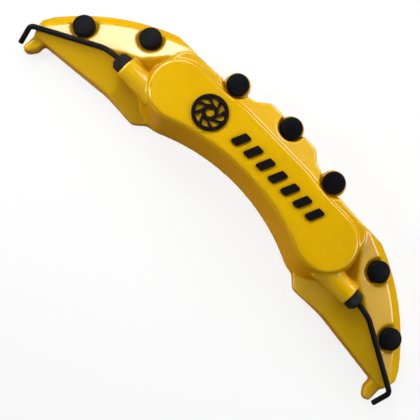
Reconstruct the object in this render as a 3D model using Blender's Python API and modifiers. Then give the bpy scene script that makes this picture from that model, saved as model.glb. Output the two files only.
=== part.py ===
"""Clip-on cover for a car's brake caliper: a hollow moulded shell, its trim and its fixings.

Lengths in the constants are millimetres and MM turns them into Blender's metres. X runs along the
cover, Y towards its scalloped edge and Z out of its face. The rim lies on Z = 0. In the constants Y
counts from the line through the two pipe elbows; the root empty moves that line to its final place.
"""

import math

import bmesh
import bpy
import numpy as np
from mathutils import Matrix, Vector

MM = 0.001
CENTRE_Y = 28.25  # from the elbow line to the middle of the whole cover
GAP = 0.3  # between a piece and its neighbour
WALL = 2.4
SMOOTH_ANGLE = math.radians(32)

# Shell: heights
BODY_TOP = 31.0
PLATE_TOP = 34.0
ROOF_OVERLAP = 1.0  # how far ribs and posts run into the roof
INNER_DROP = 8.0  # how far the hollow's solids reach below the rim
SEAT_Z = 22.8  # the three middle bolt seats
SHELF_Y = 47.6  # the body's top slopes from here to the scalloped edge
SHELF_SLOPE = (0.0, -0.28)

# Shell: plan. An outline is a concave arc that runs over into a round end: arc radius, y of its
# apex, x of the end and the end's radius. The concave arc faces the brake disc's hub.
PLATE_OUTLINE = (125.0, 23.8, 71.0, 16.2)
BODY_TOP_OUTLINE = (125.8, 23.0, 71.8, 17.0)
BODY_RIM_OUTLINE = (114.7, 20.7, 75.3, 19.0)
ROUND_END_ANGLES = (math.radians(15), math.radians(30))  # where the rim's and the top's ends stop
PLATE_EDGE_Y = 47.1
PLATE_CORNER = (38.5, 24.0)  # x and radius of the bends in its scalloped side
PLATE_WAIST_X = 23.0
PLATE_BEVEL = 0.9
PLATE_SKIRT = 0.6  # how much wider the plate is at its foot
PLATE_FOOT = 1.5  # how deep it is sunk in the body
DRAFT = 1.1
LOBE_Y = 60.3
LOBE_X = 16.5
# The scalloped side from the round end to the lobe, as corners (x, y, radius)
RIM_SCALLOPS = [(74.0, 50.5, 13.0), (48.0, 51.6, 6.0), (30.0, 53.5, 4.0), (23.4, 55.6, 3.0)]
TOP_SCALLOPS = [(68.0, 49.0, 9.0), (48.0, 49.8, 6.0), (30.0, 52.4, 4.0), (22.8, 54.5, 3.0)]
LOBE_ROUNDING = 4.5
LEDGE_RADII = (8.3, 7.3)  # round the three middle bolts, at the rim and at the seat
RIB_X = 44.0
RIB_SHEET = 1.6
RIB_Y = (15.5, 47.0)
RIB_Z = 19.0

# Shell: wing
CORNER = (61.7, 2.7)  # where the concave edge turns into the wing
WING_INNER = [(50.0, 14.0, 0), (*CORNER, 5), (82.0, 3.6, 40), (126.4, -1.4, 0)]
WING_TIP = [(131.8, -2.0, 0), (134.9, 7.0, 2.6), (131.0, 14.0, 0)]
WING_ROOT = [(60.0, 49.8), (50.0, 46.0)]
WING_CUT_FROM = 40.0  # height of the block that the wing's faces are cut from
TIP_X = 134.0
TIP_Y = 1.5
TIP_Z = 12.2
STRIP_SLOPE = (-0.22, -0.02)  # dz/dx and dz/dy of the outer strip
FACET_SLOPE = (0.02, 0.46)  # inner slope towards the tip
ROOT_SLOPE = (0.36, 0.46)  # inner slope beside the body
CREASE_X = 80.5
WING_OUTER_START = (77.0, 51.8)
WING_OUTER_END = (132.0, 12.7)
WING_OUTER_SAGITTA = 5.0
EDGE_CHAMFER = 4.6
TAB_OUTLINE = [(124.6, 0.6, 0), (124.6, -6.0, 3), (127.6, -10.8, 3), (131.6, -10.8, 1.2), (131.8, 0.6, 0)]
TAB_TOP = 8.6
TAB_CHAMFER = 1.2

# Trim
CAP_RADIUS = 6.1
CAP_HEIGHT = 4.6
CAP_ROUNDING = 1.3
CAP_CROWN = 0.5
CAP_FLAT = 2.5  # from the cap's side to where its crown starts
STEM_RADIUS = 1.9
STEM_LENGTH = 5.0
STEM_CHAMFER = 0.5
HOLE_EXTRA = 1.5  # how much deeper a stem's hole is than the stem
CAP_PLACES = ((0.0, 59.0), (36.2, 54.8), (85.7, 39.0), (115.6, 19.4))
CAP_FLARES = (2.1, 3.5, 5.14, 5.14)  # how far each cap's conical scoop opens over its height
SCOOP_HEIGHT = 12.0
SCOOP_CLEARANCE = 0.8
WING_SEAT_DEPTH = 1.4
PIPE_RADIUS = 1.5
PIPE_PLUG = 6.0  # length of the pipe's end inside the boss
PIPE_BORE = 8.0
PIPE_KNEE_X = 99.5  # where the pipe comes down onto the ridge
PIPE_LIFT = 0.6  # its clearance above the ridge
PIPE_ELBOW = (1.5, -0.6, 0.2)  # from the wing's tip to the elbow
PIPE_END = (0.5, -9.3, 5.2)  # x from the tip, y and z of the free end
PIPE_BENDS = (10.0, 14.0, 3.4)
PIPE_STRAIGHT = 3.0  # from the nut's face to the first bend's corner
PIPE_DRIFT = 1.0  # how far the knee lies towards the hub
BOSS_START_X = 62.0
BOSS_END_X = 83.6
BOSS_Y = 18.8
BOSS_Z = 24.0
BOSS_RADII = (7.3, 6.4)
NUT_LENGTH = 5.6
NUT_FLATS = 9.2
COLLAR_LENGTH = 1.0
COLLAR_RADII = (4.3, 3.7)
COLLAR_OVERLAP = 0.4
NUT_CLEARANCE = (0.5, 1.2)  # round the nut and in front of it
EMBLEM_RAISE = 1.0
EMBLEM_CENTRE = (-35.0, 31.6)
EMBLEM_RADIUS = 9.8
EMBLEM_BORE = 0.23  # share of the radius
EMBLEM_WINDOWS = 8
# A window's inner and outer edges: share of the radius, then the angles of its two corners
WINDOW_EDGES = ((0.45, -0.24, 0.24), (0.79, 0.72, 0.18))
STRIPES = 7
STRIPE_START = (-18.0, 29.1)
STRIPE_HEIGHT = 8.4
STRIPE_WIDTH = 4.8
STRIPE_STEP = 9.0
STRIPE_LEAN = 3.4
STRIPE_ROUNDING = 0.9

# Fixings
BRACKET_WIDTH = 10.0
BRACKET_SHEET = 1.2
BRACKET_TRAVEL = 3.0
BRACKET_TAIL = 7.0  # from the screw to the arm's end
BRACKET_BEND = 1.6
FOOT_Z = 1.8
FOOT_BEND = 1.4
FOOT_LENGTH = 7.5
SCREW_RADIUS = 1.5
SCREW_TIP = (0.6, 1.0)  # radius lost and length of the tip's chamfer
HEAD_RADIUS = 3.5
HEAD_HEIGHT = 2.3
HEAD_DOME = ((0.0, 1.2), (0.5, 0.4), (1.4, 0.0))  # radius lost, height above the head's lowest point
CROSS = (3.4, 0.9, 1.1)  # span, width and depth of the recess
SHANK_LENGTH = 9.4
PILOT_DEPTH = 7.0
WASHER_RADIUS = 4.3
WASHER_SHEET = 0.8
WASHER_EDGE = 0.15
POST_RADIUS = 4.0
PAD_X = (47.2, 64.5)
PAD_Y = (21.5, 37.5)
PAD_THICKNESS = 5.5
PAD_CORNER = 3.0
PAD_DRAW = (0.5, 0.7)  # how far and how high the free face's edge is drawn in
# post x, post y, height of the post's end, direction of the clip's leg along Y, reach to the leg
POSTS = {
    "centre": (22.0, 38.0, 15.0, 1.0, 10.0),
    "wing": (95.0, 22.0, 11.0, -1.0, 12.0),
}
THROUGH = 1.0  # how far a cutter stands out of what it cuts


# ---------------------------------------------------------------- scene

def clear_scene():
    for obj in list(bpy.data.objects):
        bpy.data.objects.remove(obj, do_unlink=True)


def new_collection(name):
    collection = bpy.data.collections.new(name)
    bpy.context.scene.collection.children.link(collection)
    return collection


def material(name, colour, roughness, metallic=0.0):
    mat = bpy.data.materials.new(name)
    mat.use_nodes = True
    shader = mat.node_tree.nodes["Principled BSDF"]
    shader.inputs["Base Color"].default_value = (*colour, 1.0)
    shader.inputs["Roughness"].default_value = roughness
    shader.inputs["Metallic"].default_value = metallic
    return mat


def mesh_object(name, bm):
    """An object at the origin from a bmesh in metres, not yet in a collection."""
    bmesh.ops.recalc_face_normals(bm, faces=bm.faces)
    if bm.calc_volume(signed=True) < 0:
        bmesh.ops.reverse_faces(bm, faces=bm.faces)
    mesh = bpy.data.meshes.new(name)
    bm.to_mesh(mesh)
    bm.free()
    return bpy.data.objects.new(name, mesh)


def evaluated_mesh(obj):
    """obj's mesh with its modifiers applied."""
    linked = obj.name in bpy.context.scene.collection.objects
    if not linked:
        bpy.context.scene.collection.objects.link(obj)
    graph = bpy.context.evaluated_depsgraph_get()
    mesh = bpy.data.meshes.new_from_object(obj.evaluated_get(graph))
    if not linked:
        bpy.context.scene.collection.objects.unlink(obj)
    return mesh


def apply_modifiers(obj):
    mesh = evaluated_mesh(obj)
    obj.modifiers.clear()
    old = obj.data
    obj.data = mesh
    if isinstance(old, bpy.types.Mesh):
        bpy.data.meshes.remove(old)


def combine(target, tool, operation):
    """Joins tool to target, or cuts it out, and removes tool."""
    scene_objects = bpy.context.scene.collection.objects
    scene_objects.link(tool)
    modifier = target.modifiers.new("combine", "BOOLEAN")
    modifier.operation = operation
    modifier.object = tool
    apply_modifiers(target)
    bpy.data.objects.remove(tool, do_unlink=True)


def mirrored(obj):
    """A copy of obj on the other side of the cover's plane of symmetry."""
    mesh = obj.data.copy()
    mesh.transform(Matrix.Scale(-1, 4, (1, 0, 0)))
    mesh.flip_normals()
    return bpy.data.objects.new(obj.name, mesh)


def on_side(obj, name, side):
    """obj itself on the right side, or its mirror image in its place on the left."""
    if side < 0:
        twin = mirrored(obj)
        bpy.data.objects.remove(obj, do_unlink=True)
        obj = twin
    obj.name = name
    return obj


def combine_at(target, tool, x, operation):
    """Combines tool, and its mirror image too where it stands beside the plane of symmetry."""
    if x > 0:
        combine_pair(target, tool, operation)
    else:
        combine(target, tool, operation)


def combine_pair(target, tool, operation):
    """Joins tool and its mirror image to target, or cuts both out."""
    twin = mirrored(tool)
    combine(target, tool, operation)
    combine(target, twin, operation)


def place(obj, collection, mat, parent):
    collection.objects.link(obj)
    obj.parent = parent
    obj.data.materials.clear()
    obj.data.materials.append(mat)
    obj.data.shade_smooth()
    obj.data.set_sharp_from_angle(angle=SMOOTH_ANGLE)
    return obj


# ---------------------------------------------------------------- outlines

def rounded(corners, steps=5):
    """An open outline through corners (x, y, radius), each rounded by its radius in steps pieces."""
    points = []
    last = len(corners) - 1
    for i, (x, y, radius) in enumerate(corners):
        here = Vector((x, y))
        if radius == 0 or i in (0, last):
            points.append((x, y))
            continue
        back = (Vector(corners[i - 1][:2]) - here).normalized()
        ahead = (Vector(corners[i + 1][:2]) - here).normalized()
        half = math.acos(max(-1.0, min(1.0, back.dot(ahead)))) / 2
        centre = here + (back + ahead).normalized() * radius / math.sin(half)
        start = here + back * radius / math.tan(half) - centre
        turn = (math.pi - 2 * half) * (1 if back.cross(ahead) < 0 else -1)
        for k in range(steps + 1):
            spoke = Matrix.Rotation(turn * k / steps, 2) @ start
            points.append(tuple(centre + spoke))
    return points


def inner_arc(radius, apex_y, end_x, steps):
    """Points of the concave edge, from the plane x = 0 outwards."""
    xs = np.linspace(0.0, end_x, steps + 1)
    return [(x, apex_y - radius + math.sqrt(radius**2 - x**2)) for x in xs]


def bulged(start, end, sagitta, steps):
    """Points of an arc from start to end that bulges to the left of that direction by sagitta."""
    start, end = Vector(start), Vector(end)
    chord = end - start
    half = chord.length / 2
    radius = (half**2 + sagitta**2) / (2 * sagitta)
    side = Vector((-chord.y, chord.x)).normalized()
    centre = (start + end) / 2 + side * (sagitta - radius)
    sweep = math.asin(half / radius)
    along = chord.normalized()
    points = []
    for angle in np.linspace(-sweep, sweep, steps + 1):
        points.append(tuple(centre + radius * (side * math.cos(angle) + along * math.sin(angle))))
    return points


def both_halves(half):
    """The closed outline of a half that starts and ends on the plane x = 0."""
    return half + [(-x, y) for x, y in half[-2:0:-1]]


def inset(points, distance):
    """A closed counter-clockwise outline moved inwards by distance, corner by corner."""
    moved = []
    count = len(points)
    for i in range(count):
        here = Vector(points[i])
        before = (here - Vector(points[i - 1])).normalized()
        after = (Vector(points[(i + 1) % count]) - here).normalized()
        normal = Vector((-before.y - after.y, before.x + after.x)).normalized()
        lean = max(0.35, normal.dot(Vector((-after.y, after.x))))
        moved.append(tuple(here + normal * distance / lean))
    return moved


# ---------------------------------------------------------------- solids

def loft(name, rings):
    """A closed solid through rings of equal length, each (outline, height)."""
    bm = bmesh.new()
    loops = []
    for outline, z in rings:
        loops.append([bm.verts.new((x * MM, y * MM, z * MM)) for x, y in outline])
    for low, high in zip(loops, loops[1:]):
        for i in range(len(low)):
            j = (i + 1) % len(low)
            bm.faces.new((low[i], low[j], high[j], high[i]))
    bm.faces.new(loops[0][::-1])
    bm.faces.new(loops[-1])
    return mesh_object(name, bm)


def round_bar(name, start, end, radius_start, radius_end, sides=32):
    """A cylinder or cone between two points."""
    start, end = Vector(start) * MM, Vector(end) * MM
    bm = bmesh.new()
    bmesh.ops.create_cone(
        bm, cap_ends=True, segments=sides, radius1=radius_start * MM, radius2=radius_end * MM,
        depth=(end - start).length,
    )
    turn = (end - start).to_track_quat("Z", "Y").to_matrix().to_4x4()
    half_step = Matrix.Rotation(math.pi / sides, 4, "Z")
    bm.transform(Matrix.Translation((start + end) / 2) @ turn @ half_step)
    return mesh_object(name, bm)


def block(name, low, high):
    low, high = Vector(low) * MM, Vector(high) * MM
    bm = bmesh.new()
    bmesh.ops.create_cube(bm, size=1.0)
    bm.transform(Matrix.Translation((low + high) / 2) @ Matrix.Diagonal((*(high - low), 1.0)))
    return mesh_object(name, bm)


def turned(name, profile, steps=32):
    """A turned piece from a profile (radius, height) that runs down its outer side."""
    bm = bmesh.new()
    line = [bm.verts.new((radius * MM, 0.0, z * MM)) for radius, z in profile]
    for a, b in zip(line, line[1:]):
        bm.edges.new((a, b))
    mesh = bpy.data.meshes.new(name)
    bm.to_mesh(mesh)
    bm.free()
    obj = bpy.data.objects.new(name, mesh)
    screw = obj.modifiers.new("turn", "SCREW")
    screw.steps = steps
    screw.render_steps = steps
    screw.use_merge_vertices = True
    screw.merge_threshold = 0.00001
    return obj


def cut_above(bm, point, normal):
    """Removes what lies on the normal's side of a plane and closes the cut."""
    cut = bmesh.ops.bisect_plane(
        bm, geom=list(bm.verts) + list(bm.edges) + list(bm.faces), dist=1e-7,
        plane_co=Vector(point) * MM, plane_no=normal, clear_outer=True,
    )
    edges = [item for item in cut["geom_cut"] if isinstance(item, bmesh.types.BMEdge)]
    open_edges = [edge for edge in edges if edge.is_boundary]
    if open_edges:
        bmesh.ops.edgeloop_fill(bm, edges=open_edges)


# ---------------------------------------------------------------- the shell

def strip_height(x, y):
    return TIP_Z + STRIP_SLOPE[0] * (x - TIP_X) + STRIP_SLOPE[1] * (y - TIP_Y)


def facet_height(x, y):
    return TIP_Z + FACET_SLOPE[0] * (x - TIP_X) + FACET_SLOPE[1] * (y - TIP_Y)


def slope_normal(slope):
    return Vector((-slope[0], -slope[1], 1.0)).normalized()


def ridge_point(x):
    """The point of the wing's ridge at x."""
    rise = (STRIP_SLOPE[0] - FACET_SLOPE[0]) / (FACET_SLOPE[1] - STRIP_SLOPE[1])
    y = TIP_Y + rise * (x - TIP_X)
    return Vector((x, y, strip_height(x, y)))


def round_end(arc_radius, apex_y, end_x, end_radius, last_angle):
    """Half an outline: its concave arc and the round end, tangent to it, up to last_angle."""
    arc_centre_y = apex_y - arc_radius
    reach = arc_radius + end_radius
    x = end_x - end_radius
    y = arc_centre_y + math.sqrt(reach**2 - x**2)
    half = inner_arc(arc_radius, apex_y, x * arc_radius / reach, 18)
    first_angle = math.atan2(arc_centre_y - y, -x)
    for angle in np.linspace(first_angle, last_angle, 13)[1:]:
        half.append((x + end_radius * math.cos(angle), y + end_radius * math.sin(angle)))
    return half


def closed_by(half, corners):
    """half carried on through corners (x, y, radius) to the plane x = 0, and mirrored."""
    return both_halves(half + rounded([(*half[-1], 0)] + corners)[1:])


def body_outlines():
    """The body's outlines at its rim and at its top, of equal length."""
    outlines = []
    for sizes, end_angle, scallops, draft in (
        (BODY_RIM_OUTLINE, ROUND_END_ANGLES[0], RIM_SCALLOPS, DRAFT),
        (BODY_TOP_OUTLINE, ROUND_END_ANGLES[1], TOP_SCALLOPS, 0.0),
    ):
        lobe = [(LOBE_X + draft, LOBE_Y + draft, LOBE_ROUNDING), (0.0, LOBE_Y + draft, 0)]
        outlines.append(closed_by(round_end(*sizes, end_angle), scallops + lobe))
    return outlines


def wing_outline():
    """The wing's closed outline, and the part of it that is the outer edge."""
    outer = bulged(WING_OUTER_END, WING_OUTER_START, -WING_OUTER_SAGITTA, 10)
    return rounded(WING_INNER) + rounded(WING_TIP)[:-1] + outer + WING_ROOT, outer


def wing(shrink):
    """The right wing's solid: a prism under the outer strip, two inner slopes and the edge chamfer."""
    outline, outer = wing_outline()
    low = -INNER_DROP if shrink else 0.0
    solid = loft("wing", [(inset(outline, shrink), low), (inset(outline, shrink), WING_CUT_FROM)])
    bm = bmesh.new()
    bm.from_mesh(solid.data)
    bpy.data.objects.remove(solid, do_unlink=True)
    crease_z = facet_height(CREASE_X, TIP_Y)
    for point, slope in (
        ((TIP_X, TIP_Y, TIP_Z), STRIP_SLOPE),
        ((TIP_X, TIP_Y, TIP_Z), FACET_SLOPE),
        ((CREASE_X, TIP_Y, crease_z), ROOT_SLOPE),
    ):
        normal = slope_normal(slope)
        cut_above(bm, Vector(point) - normal * shrink, normal)
    for (x0, y0), (x1, y1) in zip(outer, outer[1:]):
        along = Vector((x1 - x0, y1 - y0, strip_height(x1, y1) - strip_height(x0, y0)))
        outwards = Vector((y1 - y0, x0 - x1, 0.0)).normalized()
        up_and_in = Vector((-outwards.x, -outwards.y, 1.0))
        normal = along.cross(up_and_in).normalized()
        normal = normal if normal.z > 0 else -normal
        point = Vector((x0, y0, strip_height(x0, y0) - EDGE_CHAMFER))
        cut_above(bm, point - normal * shrink, normal)
    return mesh_object("wing", bm)


def cap_axis(x, y):
    """Seat point and axis of the dummy bolt at x, y."""
    if x < CORNER[0]:
        return Vector((x, y, SEAT_Z)), Vector((0, 0, 1))
    axis = slope_normal(STRIP_SLOPE)
    return Vector((x, y, strip_height(x, y))) - axis * WING_SEAT_DEPTH, axis


def envelope(shrink):
    """The cover's outer solid, shrunk by shrink on every side but the rim."""
    low, high = body_outlines()
    floor = -INNER_DROP if shrink else 0.0
    solid = loft("shell", [
        (inset(low, shrink), floor),
        (inset(high, shrink), BODY_TOP - shrink),
    ])
    bm = bmesh.new()
    bm.from_mesh(solid.data)
    normal = slope_normal(SHELF_SLOPE)
    cut_above(bm, Vector((0, SHELF_Y, BODY_TOP)) - normal * shrink, normal)
    bm.to_mesh(solid.data)
    bm.free()
    combine_pair(solid, wing(shrink), "UNION")
    for x, y in CAP_PLACES[:2]:
        low_radius, high_radius = (radius - shrink for radius in LEDGE_RADII)
        ledge = round_bar("ledge", (x, y, floor), (x, y, SEAT_Z - shrink), low_radius, high_radius, 40)
        combine_at(solid, ledge, x, "UNION")
    if not shrink:
        boss = round_bar("boss", (BOSS_START_X, BOSS_Y, BOSS_Z), (BOSS_END_X, BOSS_Y, BOSS_Z), *BOSS_RADII)
        combine_pair(solid, boss, "UNION")
    for (x, y), flare in zip(CAP_PLACES, CAP_FLARES):
        seat, axis = cap_axis(x, y)
        seat = seat - axis * shrink
        radius = CAP_RADIUS + SCOOP_CLEARANCE + shrink
        scoop = round_bar("scoop", seat, seat + axis * SCOOP_HEIGHT, radius, radius + flare, 40)
        combine_at(solid, scoop, x, "DIFFERENCE")
    recess_radius = NUT_FLATS / math.sqrt(3) + NUT_CLEARANCE[0] + shrink
    recess_end = BOSS_END_X + NUT_LENGTH + NUT_CLEARANCE[1] + shrink
    recess = round_bar(
        "recess", (BOSS_END_X - shrink, BOSS_Y, BOSS_Z), (recess_end, BOSS_Y, BOSS_Z),
        recess_radius, recess_radius, 32,
    )
    combine_pair(solid, recess, "DIFFERENCE")
    return solid


def plate():
    """The raised centre plate, with a small bevel round its face."""
    end = round_end(*PLATE_OUTLINE, math.pi / 2)
    bend_x, bend_radius = PLATE_CORNER
    outline = closed_by(end, [
        (bend_x, end[-1][1], bend_radius), (PLATE_WAIST_X, PLATE_EDGE_Y, bend_radius), (0.0, PLATE_EDGE_Y, 0),
    ])
    return loft("plate", [
        (inset(outline, -PLATE_SKIRT), BODY_TOP - PLATE_FOOT),
        (outline, PLATE_TOP - PLATE_BEVEL),
        (inset(outline, PLATE_BEVEL * 0.4), PLATE_TOP - PLATE_BEVEL / 3),
        (inset(outline, PLATE_BEVEL), PLATE_TOP),
    ])


def end_tab():
    """The rounded tab that stands out from the wing's inner edge at its end."""
    outline = rounded(TAB_OUTLINE, 4)
    return loft("tab", [
        (outline, 0.0), (outline, TAB_TOP - TAB_CHAMFER), (inset(outline, TAB_CHAMFER), TAB_TOP),
    ])


def cover_shell():
    shell = envelope(0.0)
    combine(shell, plate(), "UNION")
    combine(shell, envelope(WALL), "DIFFERENCE")
    combine_pair(shell, end_tab(), "UNION")
    rib = block("rib", (RIB_X, RIB_Y[0], RIB_Z), (RIB_X + RIB_SHEET, RIB_Y[1], BODY_TOP - ROOF_OVERLAP))
    combine_pair(shell, rib, "UNION")
    for name, (x, y, end_z, _, _) in POSTS.items():
        roof = (BODY_TOP if name == "centre" else strip_height(x, y)) - ROOF_OVERLAP
        post = round_bar("post", (x, y, end_z), (x, y, roof), POST_RADIUS, POST_RADIUS, 24)
        combine_pair(shell, post, "UNION")
        pilot = round_bar(
            "pilot", (x, y, end_z - THROUGH), (x, y, end_z + PILOT_DEPTH),
            SCREW_RADIUS + GAP, SCREW_RADIUS + GAP, 16,
        )
        combine_pair(shell, pilot, "DIFFERENCE")
    for x, y in CAP_PLACES:
        seat, axis = cap_axis(x, y)
        bottom = seat - axis * (STEM_LENGTH + HOLE_EXTRA)
        hole = round_bar("hole", seat + axis * THROUGH, bottom, STEM_RADIUS + GAP, STEM_RADIUS + GAP, 16)
        combine_at(shell, hole, x, "DIFFERENCE")
    bore = round_bar(
        "bore", (BOSS_END_X - PIPE_BORE, BOSS_Y, BOSS_Z), (BOSS_END_X + THROUGH, BOSS_Y, BOSS_Z),
        PIPE_RADIUS + GAP, PIPE_RADIUS + GAP, 16,
    )
    combine_pair(shell, bore, "DIFFERENCE")
    shell.name = "cover_shell"
    return shell


# ---------------------------------------------------------------- trim

def bolt_cap(name, x, y):
    """A push-in dummy bolt: a low domed head on a stem."""
    seat, axis = cap_axis(abs(x), y)
    if x < 0:
        seat.x, axis.x = -seat.x, -axis.x
    profile = [(0.0, CAP_HEIGHT), (CAP_RADIUS - CAP_FLAT, CAP_HEIGHT - 0.3 * CAP_CROWN)]
    for angle in np.linspace(0.0, math.pi / 2, 4):
        profile.append((
            CAP_RADIUS - CAP_ROUNDING * (1 - math.sin(angle)),
            CAP_HEIGHT - CAP_CROWN - CAP_ROUNDING * (1 - math.cos(angle)),
        ))
    profile += [(CAP_RADIUS, GAP), (STEM_RADIUS, GAP), (STEM_RADIUS, STEM_CHAMFER - STEM_LENGTH)]
    profile += [(STEM_RADIUS - STEM_CHAMFER, -STEM_LENGTH), (0.0, -STEM_LENGTH)]
    obj = turned(name, profile)
    obj.location = seat * MM
    obj.rotation_euler = axis.to_track_quat("Z", "Y").to_euler()
    return obj


def pipe_path(side):
    """Centre line of the dummy pipe: out of the boss, along the ridge, round the wing's end."""
    knee_z = ridge_point(PIPE_KNEE_X).z + PIPE_RADIUS + PIPE_LIFT
    corners = [
        Vector((BOSS_END_X - PIPE_PLUG, BOSS_Y, BOSS_Z)),
        Vector((BOSS_END_X + NUT_LENGTH + PIPE_STRAIGHT, BOSS_Y, BOSS_Z)),
        Vector((PIPE_KNEE_X, BOSS_Y - PIPE_DRIFT, knee_z)),
        Vector((TIP_X, 0.0, TIP_Z + PIPE_RADIUS)) + Vector(PIPE_ELBOW),
        Vector((TIP_X, 0.0, 0.0)) + Vector(PIPE_END),
    ]
    points = [corners[0]]
    for before, here, after, radius in zip(corners, corners[1:], corners[2:], PIPE_BENDS):
        back, ahead = (before - here).normalized(), (after - here).normalized()
        half = back.angle(ahead) / 2
        centre = here + (back + ahead).normalized() * radius / math.sin(half)
        start = here + back * radius / math.tan(half) - centre
        axis = back.cross(ahead).normalized()
        for k in range(7):
            turn = Matrix.Rotation(-(math.pi - 2 * half) * k / 6, 3, axis)
            points.append(centre + turn @ start)
    points.append(corners[-1])
    return [Vector((side * p.x, p.y, p.z)) for p in points]


def pipe(name, side):
    curve = bpy.data.curves.new(name, "CURVE")
    curve.dimensions = "3D"
    curve.bevel_depth = PIPE_RADIUS * MM
    curve.bevel_resolution = 2
    curve.use_fill_caps = True
    spline = curve.splines.new("POLY")
    points = pipe_path(side)
    spline.points.add(len(points) - 1)
    for slot, point in zip(spline.points, points):
        slot.co = (*(point * MM), 1.0)
    tube = bpy.data.objects.new(name, curve)
    mesh = evaluated_mesh(tube)
    bpy.data.objects.remove(tube, do_unlink=True)
    bm = bmesh.new()
    bm.from_mesh(mesh)
    bmesh.ops.remove_doubles(bm, verts=bm.verts, dist=0.00001)
    bpy.data.meshes.remove(mesh)
    return mesh_object(name, bm)


def pipe_nut(name, side):
    """A hexagon nut with a round collar, bored for the pipe."""
    radius = NUT_FLATS / math.sqrt(3)
    start = BOSS_END_X + GAP
    hexagon_end = start + NUT_LENGTH - COLLAR_LENGTH
    nut = round_bar(name, (start, BOSS_Y, BOSS_Z), (hexagon_end, BOSS_Y, BOSS_Z), radius, radius, 6)
    collar = round_bar(
        "collar", (hexagon_end - COLLAR_OVERLAP, BOSS_Y, BOSS_Z), (start + NUT_LENGTH, BOSS_Y, BOSS_Z),
        *COLLAR_RADII, 24,
    )
    combine(nut, collar, "UNION")
    bore = round_bar(
        "bore", (start - THROUGH, BOSS_Y, BOSS_Z), (start + NUT_LENGTH + THROUGH, BOSS_Y, BOSS_Z),
        PIPE_RADIUS + GAP, PIPE_RADIUS + GAP, 16,
    )
    combine(nut, bore, "DIFFERENCE")
    return on_side(nut, name, side)


def flat_piece(name, outline, thickness):
    """A flat piece from a closed outline, as a filled 2D curve, on the plate's face."""
    curve = bpy.data.curves.new(name, "CURVE")
    curve.dimensions = "2D"
    curve.fill_mode = "BOTH"
    curve.extrude = thickness * MM / 2
    spline = curve.splines.new("POLY")
    spline.points.add(len(outline) - 1)
    spline.use_cyclic_u = True
    for slot, (x, y) in zip(spline.points, outline):
        slot.co = (x * MM, y * MM, 0.0, 1.0)
    flat = bpy.data.objects.new(name, curve)
    mesh = evaluated_mesh(flat)
    bpy.data.objects.remove(flat, do_unlink=True)
    bm = bmesh.new()
    bm.from_mesh(mesh)
    bpy.data.meshes.remove(mesh)
    bmesh.ops.remove_doubles(bm, verts=bm.verts, dist=0.00001)
    bm.transform(Matrix.Translation((0, 0, (PLATE_TOP + GAP + thickness / 2) * MM)))
    return mesh_object(name, bm)


def emblem_disc():
    """A plain ventilated-disc symbol: a ring joined to a hub by curved spokes."""
    cx, cy = EMBLEM_CENTRE
    z0, z1 = PLATE_TOP + GAP, PLATE_TOP + GAP + EMBLEM_RAISE
    disc = round_bar("emblem_disc", (cx, cy, z0), (cx, cy, z1), EMBLEM_RADIUS, EMBLEM_RADIUS, 56)
    below, above = z0 - THROUGH, z1 + THROUGH
    bore = EMBLEM_RADIUS * EMBLEM_BORE
    combine(disc, round_bar("hole", (cx, cy, below), (cx, cy, above), bore, bore, 24), "DIFFERENCE")
    for k in range(EMBLEM_WINDOWS):
        outline = []
        for share, start, end in WINDOW_EDGES:
            for angle in np.linspace(start, end, 4) + 2 * math.pi * k / EMBLEM_WINDOWS:
                radius = EMBLEM_RADIUS * share
                outline.append((cx + radius * math.cos(angle), cy + radius * math.sin(angle)))
        combine(disc, loft("window", [(outline, below), (outline, above)]), "DIFFERENCE")
    disc.name = "emblem_disc"
    return disc


def emblem_stripe(index):
    """One of the row of slanted stripes beside the disc."""
    x, y = STRIPE_START[0] + index * STRIPE_STEP, STRIPE_START[1]
    middle, right, top, lean = x + STRIPE_WIDTH / 2, x + STRIPE_WIDTH, y + STRIPE_HEIGHT, STRIPE_LEAN
    corners = [(right, y), (right + lean, top), (x + lean, top), (x, y)]
    rounds = [(*corner, STRIPE_ROUNDING) for corner in corners]
    outline = rounded([(middle, y, 0)] + rounds + [(middle, y, 0)], 3)[:-1]
    return flat_piece(f"emblem_stripe_{index + 1}", outline, EMBLEM_RAISE)


# ---------------------------------------------------------------- fixings

def bracket(name, post, side):
    """A bent sheet clip: a slotted arm under the post, a leg towards the rim and a turned-in foot."""
    x, y, end_z, way, reach = post
    top = end_z - GAP
    leg_y = reach * way
    line = [
        (-BRACKET_TAIL * way, top), (leg_y - BRACKET_BEND * way, top), (leg_y, top - BRACKET_BEND),
        (leg_y, FOOT_Z + FOOT_BEND), (leg_y - FOOT_BEND * way, FOOT_Z), (leg_y - FOOT_LENGTH * way, FOOT_Z),
    ]
    bm = bmesh.new()
    rows = []
    for edge_x in (-BRACKET_WIDTH / 2, BRACKET_WIDTH / 2):
        rows.append([bm.verts.new((edge_x * MM, py * MM, pz * MM)) for py, pz in line])
    for i in range(len(line) - 1):
        face = (rows[0][i], rows[1][i], rows[1][i + 1], rows[0][i + 1])
        bm.faces.new(face if way > 0 else face[::-1])
    mesh = bpy.data.meshes.new(name)
    bm.to_mesh(mesh)
    bm.free()
    clip = bpy.data.objects.new(name, mesh)
    solidify = clip.modifiers.new("sheet", "SOLIDIFY")
    solidify.thickness = BRACKET_SHEET * MM
    solidify.offset = -1.0
    solidify.use_even_offset = True
    apply_modifiers(clip)
    reach_y = BRACKET_TRAVEL + GAP
    radius = SCREW_RADIUS + GAP
    corners = []
    for k in range(18):
        angle = math.pi * (k // 9 + (k % 9) / 8)
        centre_y = reach_y if k < 9 else -reach_y
        corners.append((radius * math.cos(angle), centre_y + radius * math.sin(angle)))
    slot = loft("slot", [(corners, top - BRACKET_SHEET - THROUGH), (corners, top + THROUGH)])
    combine(clip, slot, "DIFFERENCE")
    clip.name = name
    clip.location = Vector((side * x, y, 0.0)) * MM
    return clip


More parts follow.
